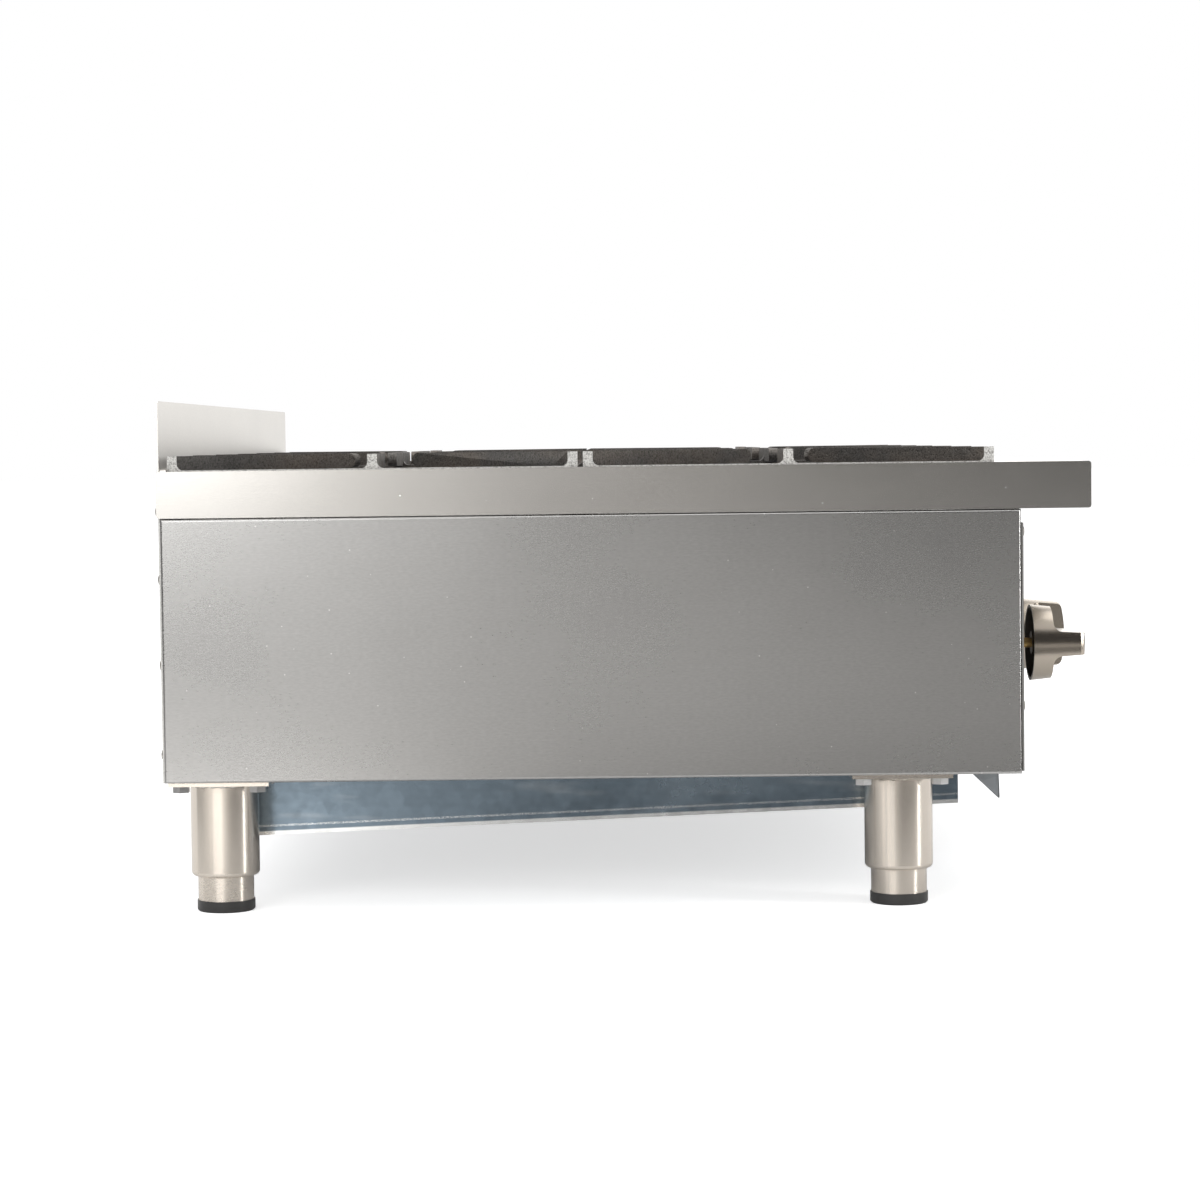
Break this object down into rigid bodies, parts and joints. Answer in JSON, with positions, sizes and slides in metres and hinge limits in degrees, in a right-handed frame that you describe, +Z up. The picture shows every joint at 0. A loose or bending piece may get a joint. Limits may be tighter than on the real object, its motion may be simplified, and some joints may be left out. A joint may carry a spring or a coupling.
{
  "type": "countertop gas hotplate",
  "caption": "Low wide stainless gas hotplate with open burners under heavy cast grates, a row of knobs, a drip tray, a short backsplash and adjustable legs.",
  "frame": {"origin": "on the floor under the middle of the bounding box", "axes": "+X to the right seen from the front, +Y to the rear, +Z up; the knobs face -Y"},
  "size_m": [0.914, 0.711, 0.389],
  "materials": {
    "panel_steel": "satin",
    "top_steel": "satin",
    "splash_steel": "satin",
    "galvanised_steel": "satin",
    "leg_steel": "satin",
    "knob_metal": "satin",
    "screw_steel": "satin",
    "bolt_steel": "satin",
    "grate_iron": "matte",
    "head_iron": "matte",
    "base_iron": "matte",
    "black_pipe": "satin",
    "brass": "satin",
    "pilot_tube": "satin",
    "foot_plastic": "matte"
  },
  "bodies": {
    "hotplate": {"side_panel_left": "panel_steel", "side_panel_right": "panel_steel", "back_panel": "panel_steel", "control_panel": "panel_steel", "top_frame": "top_steel", "backsplash": "splash_steel", "base_frame": "galvanised_steel", "burner_rails": "galvanised_steel", "heat_shield": "galvanised_steel", "manifold": "black_pipe", "supply_pipe": "black_pipe", "gas_valves": "brass", "pilot_lines": "pilot_tube", "tray_guide_left": "galvanised_steel", "tray_guide_right": "galvanised_steel", "panel_screws": "screw_steel", "leg_bolts": "bolt_steel", "burner_base_front_left": "base_iron", "burner_base_front_middle": "base_iron", "burner_base_front_right": "base_iron", "burner_base_rear_left": "base_iron", "burner_base_rear_middle": "base_iron", "burner_base_rear_right": "base_iron", "leg_front_left": "leg_steel", "leg_front_right": "leg_steel", "leg_rear_left": "leg_steel", "leg_rear_right": "leg_steel"},
    "grate_front_left": {"grate_front_left": "grate_iron"},
    "burner_head_front_left": {"burner_head_front_left": "head_iron"},
    "knob_front_left": {"knob_front_left": "knob_metal", "valve_stem_front_left": "brass"},
    "grate_front_middle": {"grate_front_middle": "grate_iron"},
    "burner_head_front_middle": {"burner_head_front_middle": "head_iron"},
    "knob_front_middle": {"knob_front_middle": "knob_metal", "valve_stem_front_middle": "brass"},
    "grate_front_right": {"grate_front_right": "grate_iron"},
    "burner_head_front_right": {"burner_head_front_right": "head_iron"},
    "knob_front_right": {"knob_front_right": "knob_metal", "valve_stem_front_right": "brass"},
    "grate_rear_left": {"grate_rear_left": "grate_iron"},
    "burner_head_rear_left": {"burner_head_rear_left": "head_iron"},
    "knob_rear_left": {"knob_rear_left": "knob_metal", "valve_stem_rear_left": "brass"},
    "grate_rear_middle": {"grate_rear_middle": "grate_iron"},
    "burner_head_rear_middle": {"burner_head_rear_middle": "head_iron"},
    "knob_rear_middle": {"knob_rear_middle": "knob_metal", "valve_stem_rear_middle": "brass"},
    "grate_rear_right": {"grate_rear_right": "grate_iron"},
    "burner_head_rear_right": {"burner_head_rear_right": "head_iron"},
    "knob_rear_right": {"knob_rear_right": "knob_metal", "valve_stem_rear_right": "brass"},
    "foot_front_left": {"foot_front_left": "leg_steel", "foot_cap_front_left": "foot_plastic"},
    "foot_front_right": {"foot_front_right": "leg_steel", "foot_cap_front_right": "foot_plastic"},
    "foot_rear_left": {"foot_rear_left": "leg_steel", "foot_cap_rear_left": "foot_plastic"},
    "foot_rear_right": {"foot_rear_right": "leg_steel", "foot_cap_rear_right": "foot_plastic"},
    "drip_tray": {"drip_tray": "galvanised_steel"}
  },
  "joints": [
    {"name": "grate_lift_front_left", "type": "slide", "parent": "hotplate", "child": "grate_front_left", "axis": [0, 0, 1], "range_m": [0, 0.15]},
    {"name": "head_lift_front_left", "type": "slide", "parent": "hotplate", "child": "burner_head_front_left", "axis": [0, 0, 1], "range_m": [0, 0.016]},
    {"name": "knob_turn_front_left", "type": "hinge", "parent": "hotplate", "child": "knob_front_left", "pos_m": [-0.35633, -0.2957, 0.1939], "axis": [0, -1, 0], "range_deg": [-90, 0]},
    {"name": "grate_lift_front_middle", "type": "slide", "parent": "hotplate", "child": "grate_front_middle", "axis": [0, 0, 1], "range_m": [0, 0.15]},
    {"name": "head_lift_front_middle", "type": "slide", "parent": "hotplate", "child": "burner_head_front_middle", "axis": [0, 0, 1], "range_m": [0, 0.016]},
    {"name": "knob_turn_front_middle", "type": "hinge", "parent": "hotplate", "child": "knob_front_middle", "pos_m": [-0.055, -0.2957, 0.1939], "axis": [0, -1, 0], "range_deg": [-90, 0]},
    {"name": "grate_lift_front_right", "type": "slide", "parent": "hotplate", "child": "grate_front_right", "axis": [0, 0, 1], "range_m": [0, 0.15]},
    {"name": "head_lift_front_right", "type": "slide", "parent": "hotplate", "child": "burner_head_front_right", "axis": [0, 0, 1], "range_m": [0, 0.016]},
    {"name": "knob_turn_front_right", "type": "hinge", "parent": "hotplate", "child": "knob_front_right", "pos_m": [0.24633, -0.2957, 0.1939], "axis": [0, -1, 0], "range_deg": [0, 90]},
    {"name": "grate_lift_rear_left", "type": "slide", "parent": "hotplate", "child": "grate_rear_left", "axis": [0, 0, 1], "range_m": [0, 0.15]},
    {"name": "head_lift_rear_left", "type": "slide", "parent": "hotplate", "child": "burner_head_rear_left", "axis": [0, 0, 1], "range_m": [0, 0.016]},
    {"name": "knob_turn_rear_left", "type": "hinge", "parent": "hotplate", "child": "knob_rear_left", "pos_m": [-0.24633, -0.2957, 0.1939], "axis": [0, -1, 0], "range_deg": [0, 90]},
    {"name": "grate_lift_rear_middle", "type": "slide", "parent": "hotplate", "child": "grate_rear_middle", "axis": [0, 0, 1], "range_m": [0, 0.15]},
    {"name": "head_lift_rear_middle", "type": "slide", "parent": "hotplate", "child": "burner_head_rear_middle", "axis": [0, 0, 1], "range_m": [0, 0.016]},
    {"name": "knob_turn_rear_middle", "type": "hinge", "parent": "hotplate", "child": "knob_rear_middle", "pos_m": [0.055, -0.2957, 0.1939], "axis": [0, -1, 0], "range_deg": [0, 90]},
    {"name": "grate_lift_rear_right", "type": "slide", "parent": "hotplate", "child": "grate_rear_right", "axis": [0, 0, 1], "range_m": [0, 0.15]},
    {"name": "head_lift_rear_right", "type": "slide", "parent": "hotplate", "child": "burner_head_rear_right", "axis": [0, 0, 1], "range_m": [0, 0.016]},
    {"name": "knob_turn_rear_right", "type": "hinge", "parent": "hotplate", "child": "knob_rear_right", "pos_m": [0.35633, -0.2957, 0.1939], "axis": [0, -1, 0], "range_deg": [0, 90]},
    {"name": "foot_level_front_left", "type": "slide", "parent": "hotplate", "child": "foot_front_left", "axis": [0, 0, 1], "range_m": [-0.025, 0.018]},
    {"name": "foot_level_front_right", "type": "slide", "parent": "hotplate", "child": "foot_front_right", "axis": [0, 0, 1], "range_m": [-0.025, 0.018]},
    {"name": "foot_level_rear_left", "type": "slide", "parent": "hotplate", "child": "foot_rear_left", "axis": [0, 0, 1], "range_m": [-0.025, 0.018]},
    {"name": "foot_level_rear_right", "type": "slide", "parent": "hotplate", "child": "foot_rear_right", "axis": [0, 0, 1], "range_m": [-0.025, 0.018]},
    {"name": "tray_slide", "type": "slide", "parent": "hotplate", "child": "drip_tray", "axis": [0, -0.9994, 0.0351], "range_m": [0, 0.5]}
  ]
}
